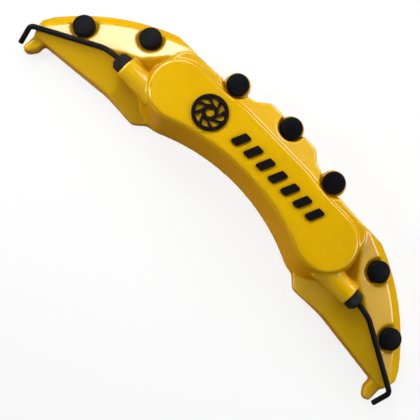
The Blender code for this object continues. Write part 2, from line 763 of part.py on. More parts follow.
def bracket_screw(name, post, side):
    """A pan-head screw with a cross recess, its head below the washer."""
    x, y, end_z, _, _ = post
    seat = end_z - GAP - BRACKET_SHEET - GAP - WASHER_SHEET - GAP
    tip_loss, tip_length = SCREW_TIP
    profile = [
        (0.0, SHANK_LENGTH), (SCREW_RADIUS - tip_loss, SHANK_LENGTH),
        (SCREW_RADIUS, SHANK_LENGTH - tip_length), (SCREW_RADIUS, 0.0), (HEAD_RADIUS, 0.0),
    ]
    profile += [(HEAD_RADIUS - loss, rise - HEAD_HEIGHT) for loss, rise in HEAD_DOME]
    profile.append((0.0, -HEAD_HEIGHT))
    screw = turned(name, profile, 24)
    apply_modifiers(screw)
    span, width, depth = CROSS
    for across, along in ((span, width), (width, span)):
        low = (-across / 2, -along / 2, -HEAD_HEIGHT - THROUGH)
        high = (across / 2, along / 2, depth - HEAD_HEIGHT)
        combine(screw, block("recess", low, high), "DIFFERENCE")
    screw.name = name
    screw.location = Vector((side * x, y, seat)) * MM
    return screw


def bracket_washer(name, post, side):
    x, y, end_z, _, _ = post
    top = end_z - GAP - BRACKET_SHEET - GAP
    bore = SCREW_RADIUS + GAP
    washer = turned(name, [
        (bore, 0.0), (WASHER_RADIUS - WASHER_EDGE, 0.0), (WASHER_RADIUS, -WASHER_EDGE),
        (WASHER_RADIUS, -WASHER_SHEET), (bore, -WASHER_SHEET), (bore, 0.0),
    ], 28)
    washer.location = Vector((side * x, y, top)) * MM
    return washer


def foam_pad(name, side):
    """A soft adhesive pad under the roof beside the rib, with rounded corners."""
    (x0, x1), (y0, y1) = PAD_X, PAD_Y
    middle = (x0 + x1) / 2
    rounds = [(x, y, PAD_CORNER) for x, y in ((x1, y0), (x1, y1), (x0, y1), (x0, y0))]
    outline = rounded([(middle, y0, 0)] + rounds + [(middle, y0, 0)], 3)[:-1]
    roof = BODY_TOP - WALL - GAP
    face = roof - PAD_THICKNESS
    pad = loft(name, [(inset(outline, PAD_DRAW[0]), face), (outline, face + PAD_DRAW[1]), (outline, roof)])
    return on_side(pad, name, side)


# ---------------------------------------------------------------- the assembly

def main():
    clear_scene()
    parts = new_collection("caliper_cover")
    root = bpy.data.objects.new("caliper_cover_root", None)
    root.location = (0.0, -CENTRE_Y * MM, 0.0)
    parts.objects.link(root)

    yellow = material("yellow_abs", (0.80, 0.52, 0.0), 0.28)
    black = material("black_plastic", (0.012, 0.012, 0.014), 0.35)
    pipe_black = material("pipe_black", (0.02, 0.02, 0.022), 0.3)
    ink = material("emblem_black", (0.01, 0.01, 0.01), 0.4)
    steel = material("stainless", (0.55, 0.55, 0.56), 0.32, 1.0)
    foam = material("foam_grey", (0.08, 0.08, 0.085), 0.9)

    place(cover_shell(), parts, yellow, root)
    ordered = [(-x, y) for x, y in CAP_PLACES[:0:-1]] + list(CAP_PLACES)
    for number, (x, y) in enumerate(ordered, 1):
        place(bolt_cap(f"bolt_cap_{number}", x, y), parts, black, root)
    for label, side in (("left", -1), ("right", 1)):
        place(pipe(f"pipe_{label}", side), parts, pipe_black, root)
        place(pipe_nut(f"pipe_nut_{label}", side), parts, pipe_black, root)
        place(foam_pad(f"foam_pad_{label}", side), parts, foam, root)
    place(emblem_disc(), parts, ink, root)
    for index in range(STRIPES):
        place(emblem_stripe(index), parts, ink, root)
    places = [("wing", -1), ("centre", -1), ("centre", 1), ("wing", 1)]
    for number, (which, side) in enumerate(places, 1):
        post = POSTS[which]
        place(bracket(f"bracket_{number}", post, side), parts, steel, root)
        place(bracket_washer(f"bracket_washer_{number}", post, side), parts, steel, root)
        place(bracket_screw(f"bracket_screw_{number}", post, side), parts, steel, root)
    bpy.context.view_layer.update()


main()
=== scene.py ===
import math

import bmesh
import bpy
import numpy as np
from mathutils import Matrix, Vector, kdtree


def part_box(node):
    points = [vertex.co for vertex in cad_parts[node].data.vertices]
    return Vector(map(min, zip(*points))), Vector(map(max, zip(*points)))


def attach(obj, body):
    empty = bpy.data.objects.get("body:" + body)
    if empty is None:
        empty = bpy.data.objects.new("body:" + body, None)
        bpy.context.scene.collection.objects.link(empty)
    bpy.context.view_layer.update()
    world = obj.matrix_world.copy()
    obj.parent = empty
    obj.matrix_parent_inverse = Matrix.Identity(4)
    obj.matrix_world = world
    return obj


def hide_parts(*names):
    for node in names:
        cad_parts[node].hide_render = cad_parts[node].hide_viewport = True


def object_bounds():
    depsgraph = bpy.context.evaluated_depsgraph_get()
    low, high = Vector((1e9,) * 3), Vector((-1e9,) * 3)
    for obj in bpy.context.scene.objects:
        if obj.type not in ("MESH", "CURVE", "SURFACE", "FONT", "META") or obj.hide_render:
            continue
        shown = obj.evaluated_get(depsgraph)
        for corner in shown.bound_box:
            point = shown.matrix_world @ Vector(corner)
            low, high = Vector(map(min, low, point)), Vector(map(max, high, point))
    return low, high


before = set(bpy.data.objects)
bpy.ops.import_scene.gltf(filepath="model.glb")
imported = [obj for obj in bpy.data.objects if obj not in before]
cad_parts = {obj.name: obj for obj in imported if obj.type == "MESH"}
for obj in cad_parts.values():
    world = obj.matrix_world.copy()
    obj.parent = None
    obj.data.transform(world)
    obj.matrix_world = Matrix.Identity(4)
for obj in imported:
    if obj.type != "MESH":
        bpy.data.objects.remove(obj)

# The looks of a clip-on brake caliper cover. X runs along the cover, +Y points to its scalloped edge
# and +Z out of its face. Lengths are in metres; MM turns millimetres into them.

MM = 0.001
CAD_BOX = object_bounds()

WELD = 1e-6  # vertices closer than this are one

# Shell
SHELL_VOXEL = 0.6 * MM
FILLET_PASSES = 9
CALM_PASSES = 160
CALM_FROM = 1.6 * MM  # from a sharp edge, where the second smoothing starts
CALM_FULL = 4.5 * MM
CALM_LEVELS = 20
SHARP_EDGE = math.radians(24)

# Bolt heads
BOLTS = 7
HEAD_THICKNESS = 4.3 * MM
HEAD_RIM = 1.5 * MM
HEAD_CROWN = 0.35 * MM
HEAD_UNDER_EDGE = 0.35 * MM
STEM_RADIUS = 1.9 * MM
STEM_FLARE = 0.5 * MM
STEM_NOSE = 0.7 * MM
STEM_STRAIGHT_FROM = 1.2 * MM

# Pipes, nuts and graphics
PIPE_EDGE = 0.45 * MM
NUT_RUN = 0.9 * MM  # height over which its corners are turned off, at the boss
NUT_NOSE = 2.8  # the same at the pipe's side, in runs
NUT_SPARE = 0.1 * MM  # how far the turned shape clears the corners
NUT_FACE_DROP = 0.2 * MM  # the outer face's radius, short of the flats
NUT_EDGE = 0.22 * MM
STRIPES = 7
GRAPHIC_EDGE = 0.16 * MM

# Clips
CLIPS = 4
SHEET = 1.2 * MM
LEG_BEND = 2.2 * MM
FOOT_BEND = 1.9 * MM
FOOT_LENGTH = 6.9 * MM
CLIP_CORNER = 2.0 * MM
CLIP_EDGE = 0.14 * MM
SLOT_REACH = 3.3 * MM
SLOT_RADIUS = 1.8 * MM
SLOT_CUT = 3.0 * MM  # how far the slot's cutter stands out of the sheet

# Washers
WASHER_BORE = 1.8 * MM
WASHER_EDGE = 0.16 * MM

# Screws. Heights count from the head's crown, which points down.
SCREW_HEAD = 2.3 * MM
SCREW_HEAD_EDGE = 0.15 * MM
SCREW_DOME = (1.5 * MM, 1.25 * MM)  # radius lost and height of the rounded crown
SHANK_RADIUS = 1.5 * MM
SHANK_TIP = (0.3 * MM, 0.6 * MM)
SHANK_NECK = 0.3 * MM
THREAD_PITCH = 1.0 * MM
THREAD_DEPTH = 0.28 * MM
THREAD_MARGIN = 0.9 * MM  # bare length at either end of the shank
THREAD_HALF_FOOT = 0.36 * THREAD_PITCH
THREAD_HALF_CREST = 0.06 * MM
THREAD_ROOTED = 0.1 * MM  # how deep its foot is sunk in the shank
THREAD_STEPS = 28  # per turn
THREAD_FADE = 14  # steps over which it runs out
RECESS = (2.3 * MM, 1.2 * MM, 2.2 * MM)  # radii and depth of the recess's tapered arms
RECESS_NARROWING = 0.26

# Foam pads
PAD_VOXEL = 0.4 * MM
PAD_PASSES = 5
PAD_WAIST = 0.03
PAD_CROWN = 0.12 * MM
PAD_WAVE = 0.1 * MM
PAD_WAVE_RATES = (910, 740)  # waves of the uneven face along X and Y, in radians per metre
PAD_WAVE_SHIFT = 1.3

# Palette
YELLOW_DEEP = (0.64, 0.365, 0.0005)
YELLOW_LIGHT = (0.73, 0.425, 0.0008)
YELLOW_MOTTLE = (0.67, 0.37, 0.0005)
# The next two are painted amber shade, for walls seen edge-on and for hollows; the one after is rubbed wear
# that also serves as a painted edge highlight.
YELLOW_EDGE_ON_SHADE = (0.54, 0.21, 0.0)
YELLOW_HOLLOW_SHADE = (0.40, 0.15, 0.0)
YELLOW_RUBBED_HIGHLIGHT = (0.86, 0.58, 0.02)
BOLT_BLACK = (0.003, 0.0034, 0.0045)
TRIM_BLACK = (0.004, 0.004, 0.0045)
BLACK_RUBBED = (0.05, 0.05, 0.055)
INK_DARK = (0.003, 0.0028, 0.0026)
INK_LIGHT = (0.008, 0.0075, 0.007)
STEEL_DARK = (0.42, 0.42, 0.43)
STEEL_LIGHT = (0.66, 0.655, 0.65)
STEEL_CLOUD = (0.38, 0.365, 0.35)
STEEL_RUBBED = (0.82, 0.82, 0.82)
FOAM_PORE = (0.022, 0.022, 0.024)
FOAM_SKIN = (0.085, 0.085, 0.09)
FOAM_DUST = (0.12, 0.118, 0.115)
FLOOR_TONES = ((0.86, 0.86, 0.855), (0.885, 0.885, 0.88))

# Camera and light
CAMERA_AT = Vector((0.0069, -0.1067, 0.56))
IMAGE_UP = Vector((-0.709, 0.705, 0.0))
FRAME_FILL = 0.93
SENSOR = 36.0
FLOOR_SIZE = 3.0
FLOOR_GLOW = 0.82  # share of the floor's look that doesn't depend on the lamps
FLOOR_BOUNCE = (0.30, 0.25, 0.18)
SKY_LOW = 0.32
SKY_TOP = 0.0
SKY_FADE = (0.1, 0.9)  # heights of the view between which it dims
MIDDLE = (0.0, 0.0, 0.0)
LEFT_WING = (-0.12, 0.0, 0.02)
LEFT_TIP = (-0.14, -0.03, 0.01)
RIGHT_END = (0.07, -0.02, 0.01)
RIGHT_WING = (0.11, 0.0, 0.02)
OPEN = 180.0
# Softboxes: name, place, size, power, what they aim at and the spread of their light in degrees
LAMPS = [
    ("key", (-0.55, 0.50, 0.67), 0.5, 4.0, MIDDLE, OPEN),
    ("left_strip", (-0.64, 0.21, 0.71), 0.28, 0.25, LEFT_WING, 50.0),
    ("left_facet", (-0.60, -0.34, 0.42), 0.25, 0.12, LEFT_TIP, 18.0),
    ("band", (-0.45, -0.57, 0.18), 0.3, 0.048, RIGHT_END, 20.0),
    ("far_edge", (0.05, 0.85, 0.45), 0.3, 2.5, MIDDLE, OPEN),
    ("right", (0.66, 0.50, 0.50), 0.35, 3.7, MIDDLE, OPEN),
    ("right_strip", (0.58, 0.18, 0.72), 0.5, 0.03, RIGHT_WING, 30.0),
    ("below_left", (-0.35, -0.25, -0.7), 0.5, 3.5, MIDDLE, OPEN),
    ("below_right", (0.45, 0.25, -0.6), 0.3, 1.5, MIDDLE, OPEN),
]


# ---------------------------------------------------------------- meshes

def linked_object(name, data):
    obj = bpy.data.objects.new(name, data)
    bpy.context.scene.collection.objects.link(obj)
    return obj


def new_piece(name, mesh, body, mat, node):
    """A shown piece that rides on body and stands for the CAD node."""
    obj = linked_object(name, mesh)
    obj.data.materials.clear()
    obj.data.materials.append(mat)
    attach(obj, body)
    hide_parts(node)


def mesh_from(name, bm):
    mesh = bpy.data.meshes.new(name)
    bm.to_mesh(mesh)
    bm.free()
    return mesh


def loose_object(name, bm):
    """An object from a bmesh with its faces pointing out."""
    bmesh.ops.recalc_face_normals(bm, faces=bm.faces)
    if bm.calc_volume(signed=True) < 0:
        bmesh.ops.reverse_faces(bm, faces=bm.faces)
    return linked_object(name, mesh_from(name, bm))


def bake_modifiers(obj):
    graph = bpy.context.evaluated_depsgraph_get()
    mesh = bpy.data.meshes.new_from_object(obj.evaluated_get(graph))
    obj.modifiers.clear()
    old = obj.data
    obj.data = mesh
    bpy.data.meshes.remove(old)


def combine(target, tool, operation):
    """Joins tool to target, cuts it out or keeps what they share, and removes tool."""
    modifier = target.modifiers.new("combine", "BOOLEAN")
    modifier.operation = operation
    modifier.object = tool
    bake_modifiers(target)
    bpy.data.objects.remove(tool, do_unlink=True)


def take_mesh(obj, angle=35.0):
    """obj's mesh, shaded smooth up to angle, with obj itself removed."""
    mesh = obj.data
    mesh.shade_smooth()
    mesh.set_sharp_from_angle(angle=math.radians(angle))
    bpy.data.objects.remove(obj, do_unlink=True)
    return mesh


def welded(node):
    """A new object with a CAD node's mesh, its split vertices joined."""
    bm = bmesh.new()
    bm.from_mesh(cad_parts[node].data)
    bmesh.ops.remove_doubles(bm, verts=bm.verts, dist=WELD)
    return loose_object(node + "_work", bm)


def add_bevel(obj, width, segments, angle):
    bevel = obj.modifiers.new("soft_edges", "BEVEL")
    bevel.width = width
    bevel.segments = segments
    bevel.limit_method = "ANGLE"
    bevel.angle_limit = math.radians(angle)


def add_remesh(obj, voxel):
    remesh = obj.modifiers.new("remesh", "REMESH")
    remesh.mode = "VOXEL"
    remesh.voxel_size = voxel


def add_smoothing(obj, passes, group=""):
    smooth = obj.modifiers.new("smoothing", "SMOOTH")
    smooth.factor = 0.5
    smooth.iterations = passes
    smooth.vertex_group = group


def turned(name, profile, steps=72):
    """A turned solid from a profile (radius, height) that runs down its outer side."""
    bm = bmesh.new()
    line = [bm.verts.new((radius, 0.0, z)) for radius, z in profile]
    for a, b in zip(line, line[1:]):
        bm.edges.new((a, b))
    obj = linked_object(name, mesh_from(name, bm))
    screw = obj.modifiers.new("turn", "SCREW")
    screw.steps = steps
    screw.render_steps = steps
    screw.use_merge_vertices = True
    screw.merge_threshold = WELD
    bake_modifiers(obj)
    return obj


def corner(centre_r, centre_z, radius, start, end, steps=6):
    """Points of a rounded corner in a profile, from angle start to end in degrees."""
    points = []
    for angle in np.radians(np.linspace(start, end, steps + 1)):
        points.append((centre_r + radius * math.cos(angle), centre_z + radius * math.sin(angle)))
    return points


def bridge(bm, first, second):
    """Faces between two closed rings of vertices."""
    for i in range(len(first)):
        j = (i + 1) % len(first)
        bm.faces.new((first[i], first[j], second[j], second[i]))


def box_middle(low, high):
    """The middle of a box's footprint, at its lowest height."""
    return Vector(((low.x + high.x) / 2, (low.y + high.y) / 2, low.z))


def unique_points(node):
    points = np.array([v.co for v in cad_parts[node].data.vertices])
    return np.unique(points.round(7), axis=0)


def spindle(node):
    """A turned node's own frame (its axis as Z, its low end as origin), its length and radius."""
    points = unique_points(node)
    centre = points.mean(0)
    values, vectors = np.linalg.eigh(np.cov((points - centre).T))
    spread = [abs(values[(i + 1) % 3] - values[(i + 2) % 3]) for i in range(3)]
    axis = vectors[:, int(np.argmin(spread))]
    axis = axis if axis[2] > 0 else -axis
    along = (points - centre) @ axis
    radius = np.linalg.norm((points - centre) - np.outer(along, axis), axis=1).max()
    origin = Vector(centre + axis * along.min())
    turn = Vector(axis).to_track_quat("Z", "Y").to_matrix().to_4x4()
    return Matrix.Translation(origin) @ turn, float(np.ptp(along)), float(radius)


# ---------------------------------------------------------------- materials

class Nodes:
    """A small helper that builds one procedural material in object space."""

    def __init__(self, name):
        self.mat = bpy.data.materials.new(name)
        self.mat.use_nodes = True
        self.tree = self.mat.node_tree
        self.shader = self.tree.nodes["Principled BSDF"]
        self.coords = self.tree.nodes.new("ShaderNodeTexCoord").outputs["Object"]

    def add(self, kind, **values):
        node = self.tree.nodes.new(kind)
        for key, value in values.items():
            setattr(node, key, value)
        return node

    def link(self, out, into):
        self.tree.links.new(out, into)

    def noise(self, scale, detail=3.0, stretch=None, rough=0.55):
        node = self.add("ShaderNodeTexNoise")
        node.inputs["Scale"].default_value = scale
        node.inputs["Detail"].default_value = detail
        node.inputs["Roughness"].default_value = rough
        if stretch is None:
            self.link(self.coords, node.inputs["Vector"])
        else:
            mapping = self.add("ShaderNodeMapping")
            mapping.inputs["Scale"].default_value = stretch
            self.link(self.coords, mapping.inputs["Vector"])
            self.link(mapping.outputs["Vector"], node.inputs["Vector"])
        return node.outputs["Fac"]

    def cells(self, scale):
        node = self.add("ShaderNodeTexVoronoi", feature="F1")
        node.inputs["Scale"].default_value = scale
        self.link(self.coords, node.inputs["Vector"])
        return node.outputs["Distance"]

    def remap(self, value, low, high, to_low, to_high):
        node = self.add("ShaderNodeMapRange")
        self.link(value, node.inputs["Value"])
        for key, number in (("From Min", low), ("From Max", high), ("To Min", to_low), ("To Max", to_high)):
            node.inputs[key].default_value = number
        return node.outputs["Result"]

    def mix(self, factor, first, second):
        """Mixes two colours."""
        node = self.add("ShaderNodeMix", data_type="RGBA", blend_type="MIX")
        colour_inputs = [s for s in node.inputs if s.type == "RGBA"]
        if isinstance(factor, float):
            node.inputs["Factor"].default_value = factor
        else:
            self.link(factor, node.inputs["Factor"])
        for socket, colour in zip(colour_inputs, (first, second)):
            if isinstance(colour, tuple):
                socket.default_value = (*colour, 1.0)
            else:
                self.link(colour, socket)
        return [s for s in node.outputs if s.type == "RGBA"][0]

    def product(self, first, second, operation="MULTIPLY"):
        node = self.add("ShaderNodeMath", operation=operation)
        for socket, value in zip(node.inputs, (first, second)):
            if isinstance(value, float):
                socket.default_value = value
            else:
                self.link(value, socket)
        return node.outputs["Value"]

    def blend(self, factor, first, second):
        """Mixes two shaders."""
        node = self.add("ShaderNodeMixShader")
        if isinstance(factor, float):
            node.inputs["Fac"].default_value = factor
        else:
            self.link(factor, node.inputs["Fac"])
        self.link(first, node.inputs[1])
        self.link(second, node.inputs[2])
        return node.outputs["Shader"]

    def edges(self, low=0.52, high=0.62):
        """1 on convex edges, 0 elsewhere; it marks wear, and on the yellow also a painted highlight."""
        geometry = self.add("ShaderNodeNewGeometry")
        return self.remap(geometry.outputs["Pointiness"], low, high, 0.0, 1.0)

    def hollow_shade(self, distance):
        """1 deep in corners, 0 in the open; it places painted shade."""
        node = self.add("ShaderNodeAmbientOcclusion", samples=8)
        node.inputs["Distance"].default_value = distance
        return self.remap(node.outputs["AO"], 0.35, 0.95, 1.0, 0.0)

    def grazing(self):
        """0 where the surface faces the viewer, 1 where it is seen edge-on."""
        return self.add("ShaderNodeLayerWeight").outputs["Facing"]

    def bump(self, *layers):
        """Stacks (height, distance, strength) layers into the shader's normal."""
        last = None
        for height, distance, strength in layers:
            node = self.add("ShaderNodeBump")
            node.inputs["Distance"].default_value = distance
            node.inputs["Strength"].default_value = strength
            self.link(height, node.inputs["Height"])
            if last is not None:
                self.link(last, node.inputs["Normal"])
            last = node.outputs["Normal"]
        self.link(last, self.shader.inputs["Normal"])

    def finish(self, colour, roughness, metallic=0.0, coat=0.0, coat_roughness=0.1, specular=0.5):
        for name, value in (
            ("Base Color", colour), ("Roughness", roughness), ("Metallic", metallic), ("Coat Weight", coat),
            ("Coat Roughness", coat_roughness), ("Specular IOR Level", specular),
        ):
            socket = self.shader.inputs[name]
            if isinstance(value, (tuple, float)):
                socket.default_value = (*value, 1.0) if isinstance(value, tuple) else value
            else:
                self.link(value, socket)
        return self.mat


def yellow_plastic():
    """Glossy moulded ABS: a deep yellow with slow flow marks, fine orange peel and rubbed edges, with
    painted amber shade on walls seen edge-on and in hollows, and a painted highlight on the rubbed edges.
    """
    n = Nodes("yellow_plastic")
    flow = n.noise(26.0, 4.0, (0.45, 1.0, 1.0))
    mottle = n.noise(420.0, 2.0)
    base = n.mix(n.remap(flow, 0.35, 0.65, 0.0, 1.0), YELLOW_DEEP, YELLOW_LIGHT)
    base = n.mix(n.remap(mottle, 0.3, 0.7, 0.0, 0.22), base, YELLOW_MOTTLE)
    # painted shade: deeper amber where a wall is seen edge-on
    base = n.mix(n.remap(n.grazing(), 0.45, 0.8, 0.0, 0.8), base, YELLOW_EDGE_ON_SHADE)
    # painted shade: deep amber in corners and recesses
    base = n.mix(n.product(n.hollow_shade(8 * MM), 0.5), base, YELLOW_HOLLOW_SHADE)
    # rubbed wear on convex edges, partly a painted highlight along the fillets
    base = n.mix(n.product(n.edges(), 0.25), base, YELLOW_RUBBED_HIGHLIGHT)
    dull = n.noise(55.0, 5.0)
    rough = n.remap(dull, 0.3, 0.7, 0.18, 0.28)
    gloss = n.remap(n.grazing(), 0.25, 0.5, 1.0, 0.04)
    n.bump(
        (n.noise(650.0, 2.0), 0.05 * MM, 0.35),
        (n.noise(3600.0, 1.0), 0.012 * MM, 0.4),
    )
    return n.finish(
        base, rough, coat=n.product(gloss, 0.25), coat_roughness=0.1, specular=n.product(gloss, 0.45)
    )


def black_plastic(name, tone, low, high, grain):
    """Black moulded plastic with a fine grain, greyer where it is rubbed."""
    n = Nodes(name)
    cloud = n.noise(130.0, 4.0)
    lighter = tuple(2.1 * c for c in tone)
    base = n.mix(n.remap(cloud, 0.35, 0.7, 0.0, 0.8), tone, lighter)
    base = n.mix(n.product(n.edges(0.51, 0.6), 0.35), base, BLACK_RUBBED)
    rough = n.remap(n.noise(240.0, 3.0), 0.3, 0.7, low, high)
    n.bump((n.noise(grain, 2.0), 0.03 * MM, 0.45), (n.cells(grain * 2.2), 0.012 * MM, 0.3))
    return n.finish(base, rough, specular=0.05)


def emblem_ink():
    """Thick raised black print with a slightly pebbled skin."""
    n = Nodes("emblem_ink")
    base = n.mix(n.noise(300.0, 3.0), INK_DARK, INK_LIGHT)
    rough = n.remap(n.noise(500.0, 3.0), 0.3, 0.7, 0.34, 0.5)
    n.bump((n.noise(1800.0, 2.0), 0.02 * MM, 0.5))
    return n.finish(base, rough, specular=0.08)


def brushed_steel(name, stretch):
    """Rolled stainless steel, brushed along one way, with faint clouding and bright rubbed edges."""
    n = Nodes(name)
    hairs = n.noise(900.0, 6.0, stretch, 0.7)
    cloud = n.noise(90.0, 3.0)
    base = n.mix(n.remap(hairs, 0.3, 0.7, 0.0, 1.0), STEEL_DARK, STEEL_LIGHT)
    base = n.mix(n.remap(cloud, 0.4, 0.7, 0.0, 0.35), base, STEEL_CLOUD)
    base = n.mix(n.product(n.edges(0.505, 0.56), 0.5), base, STEEL_RUBBED)
    rough = n.remap(hairs, 0.3, 0.7, 0.22, 0.42)
    n.bump((hairs, 0.015 * MM, 0.5))
    mat = n.finish(base, rough, metallic=1.0)
    n.shader.inputs["Anisotropic"].default_value = 0.4
    return mat


def pad_foam():
    """Closed-cell foam: small open cells on the cut sides, dull and dark."""
    n = Nodes("pad_foam")
    cells = n.cells(1500.0)
    large = n.cells(620.0)
    base = n.mix(n.remap(cells, 0.0, 0.7, 0.0, 1.0), FOAM_PORE, FOAM_SKIN)
    base = n.mix(n.remap(n.noise(160.0, 4.0), 0.35, 0.7, 0.0, 0.4), base, FOAM_DUST)
    n.bump((cells, 0.25 * MM, 0.8), (large, 0.3 * MM, 0.5))
    return n.finish(base, 0.93, specular=0.2)


def floor_paint():
    """A pale matt floor. It is clear from below and to the lamps under it, so that the back can be
    seen, and it throws little light up at the cover's walls."""
    n = Nodes("floor_paint")
    n.finish(n.mix(n.noise(6.0, 3.0), *FLOOR_TONES), 0.75, specular=0.15)
    glow = n.add("ShaderNodeEmission")
    seen = n.blend(FLOOR_GLOW, n.shader.outputs["BSDF"], glow.outputs["Emission"])
    dark = n.add("ShaderNodeBsdfDiffuse")
    dark.inputs["Color"].default_value = (*FLOOR_BOUNCE, 1.0)
    rays = n.add("ShaderNodeLightPath").outputs
    lit = n.blend(rays["Is Camera Ray"], dark.outputs["BSDF"], seen)
    behind = n.add("ShaderNodeNewGeometry").outputs["Backfacing"]
    clear = n.add("ShaderNodeBsdfTransparent").outputs["BSDF"]
    surface = n.blend(n.product(behind, rays["Is Shadow Ray"], "MAXIMUM"), lit, clear)
    n.link(surface, n.tree.nodes["Material Output"].inputs["Surface"])
    return n.mat


# ---------------------------------------------------------------- the moulded shell

def sharp_edge_tree(mesh):
    """Points every half voxel along the mesh's sharp edges, in a tree for finding the nearest."""
    bm = bmesh.new()
    bm.from_mesh(mesh)
    points = []
    for edge in bm.edges:
        if len(edge.link_faces) == 2 and edge.calc_face_angle() < SHARP_EDGE:
            continue
        a, b = (v.co.copy() for v in edge.verts)
        count = max(1, round((b - a).length / SHELL_VOXEL))
        points += [a.lerp(b, k / count) for k in range(count + 1)]
    bm.free()
    tree = kdtree.KDTree(len(points))
    for i, point in enumerate(points):
        tree.insert(point, i)
    tree.balance()
    return tree


def cover_moulding(mat):
    """The shell with moulded fillets: remeshed finely, then its edges and its facets smoothed away."""
    work = welded("cover_shell")
    tree = sharp_edge_tree(work.data)
    add_remesh(work, SHELL_VOXEL)
    bake_modifiers(work)
    group = work.vertex_groups.new(name="calm")
    buckets = [[] for _ in range(CALM_LEVELS + 1)]
    for v in work.data.vertices:
        distance = tree.find(v.co)[2]
        share = min(1.0, max(0.0, (distance - CALM_FROM) / (CALM_FULL - CALM_FROM)))
        buckets[round(share * CALM_LEVELS)].append(v.index)
    for level, members in enumerate(buckets):
        if level and members:
            group.add(members, level / CALM_LEVELS, "REPLACE")
    add_smoothing(work, FILLET_PASSES)
    add_smoothing(work, CALM_PASSES, "calm")
    bake_modifiers(work)
    work.vertex_groups.clear()
    new_piece("cover_moulding", take_mesh(work, 70.0), "cover", mat, "cover_shell")


# ---------------------------------------------------------------- trim

def bolt_head(number, mat):
    """A push-in dummy bolt: a softly crowned head with a rounded rim, on a stem."""
    node = f"bolt_cap_{number}"
    place, length, radius = spindle(node)
    under = length - HEAD_THICKNESS
    inner = radius - HEAD_RIM
    edge = HEAD_UNDER_EDGE
    profile = [(0.0, length)]
    for share in (0.25, 0.5, 0.75, 0.92):
        profile.append((inner * share, length - HEAD_CROWN * share**2))
    profile += corner(inner, length - HEAD_CROWN - HEAD_RIM, HEAD_RIM, 90, 0, 8)
    profile += [(radius, under + edge)]
    profile += corner(radius - edge, under + edge, edge, 0, -90, 3)[1:]
    profile += [(STEM_RADIUS + STEM_FLARE, under), (STEM_RADIUS, under - STEM_FLARE)]
    profile += [(STEM_RADIUS, STEM_STRAIGHT_FROM)]
    profile += corner(STEM_RADIUS - STEM_NOSE, STEM_NOSE, STEM_NOSE, 0, -90, 4) + [(0.0, 0.0)]
    obj = turned(node + "_work", profile)
    obj.data.transform(place)
    new_piece(f"bolt_head_{number}", take_mesh(obj, 50.0), "cover", mat, node)


def tube_rings(node):
    """The centre line and radius of a CAD tube, found ring by ring from its inner end."""
    work = welded(node)
    bm = bmesh.new()
    bm.from_mesh(work.data)
    bpy.data.objects.remove(work, do_unlink=True)
    innermost = min(abs(v.co.x) for v in bm.verts)
    ring = {v for v in bm.verts if abs(v.co.x) < innermost + 10 * WELD}
    seen = set(ring)
    centres = []
    while ring:
        middle = sum((v.co for v in ring), Vector()) / len(ring)
        centres.append(middle)
        radius = max((v.co - middle).length for v in ring)
        ring = {e.other_vert(v) for v in ring for e in v.link_edges} - seen
        seen |= ring
    bm.free()
    return centres, radius


def dummy_pipe(side, mat):
    """The bent rod, drawn smoothly through the CAD tube's centre line, with rounded ends."""
    node = f"pipe_{side}"
    centres, radius = tube_rings(node)
    curve = bpy.data.curves.new(node + "_work", "CURVE")
    curve.dimensions = "3D"
    curve.bevel_depth = radius
    curve.bevel_resolution = 6
    curve.use_fill_caps = True
    spline = curve.splines.new("POLY")
    spline.points.add(len(centres) - 1)
    for point, centre in zip(spline.points, centres):
        point.co = (*centre, 1.0)
    obj = linked_object(node + "_work", curve)
    graph = bpy.context.evaluated_depsgraph_get()
    mesh = bpy.data.meshes.new_from_object(obj.evaluated_get(graph))
    bpy.data.objects.remove(obj, do_unlink=True)
    bm = bmesh.new()
    bm.from_mesh(mesh)
    bmesh.ops.remove_doubles(bm, verts=bm.verts, dist=WELD)
    tube = loose_object(node + "_work", bm)
    add_bevel(tube, PIPE_EDGE, 3, 50.0)
    bake_modifiers(tube)
    new_piece(f"dummy_pipe_{side}", take_mesh(tube, 45.0), "cover", mat, node)


def hexagon_nut(side, mat):
    """The CAD nut with its corners turned off and its edges broken."""
    node = f"pipe_nut_{side}"
    low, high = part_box(node)
    middle = (low + high) / 2
    flats = min(high.y - low.y, high.z - low.z) / 2
    corners = max(high.y - low.y, high.z - low.z) / 2
    half = (high.x - low.x) / 2
    outside = corners + NUT_SPARE
    profile = [(0.0, half), (flats - NUT_FACE_DROP, half), (outside, half - NUT_RUN * NUT_NOSE)]
    profile += [(outside, -half + NUT_RUN), (flats, -half), (0.0, -half)]
    turner = turned("turner", profile, 96)
    outwards = 1 if middle.x > 0 else -1
    turn = Vector((outwards, 0, 0)).to_track_quat("Z", "Y").to_matrix().to_4x4()
    turner.data.transform(Matrix.Translation(middle) @ turn)
    nut = welded(node)
    combine(nut, turner, "INTERSECT")
    add_bevel(nut, NUT_EDGE, 3, 28.0)
    bake_modifiers(nut)
    new_piece(f"hexagon_nut_{side}", take_mesh(nut, 40.0), "cover", mat, node)


def keep_graphic(node, mat):
    """A CAD node that stays, with broken edges and a finished material."""
    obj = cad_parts[node]
    weld = obj.modifiers.new("weld", "WELD")
    weld.merge_threshold = WELD
    add_bevel(obj, GRAPHIC_EDGE, 3, 40.0)
    obj.data.materials.clear()
    obj.data.materials.append(mat)


# ---------------------------------------------------------------- fixings

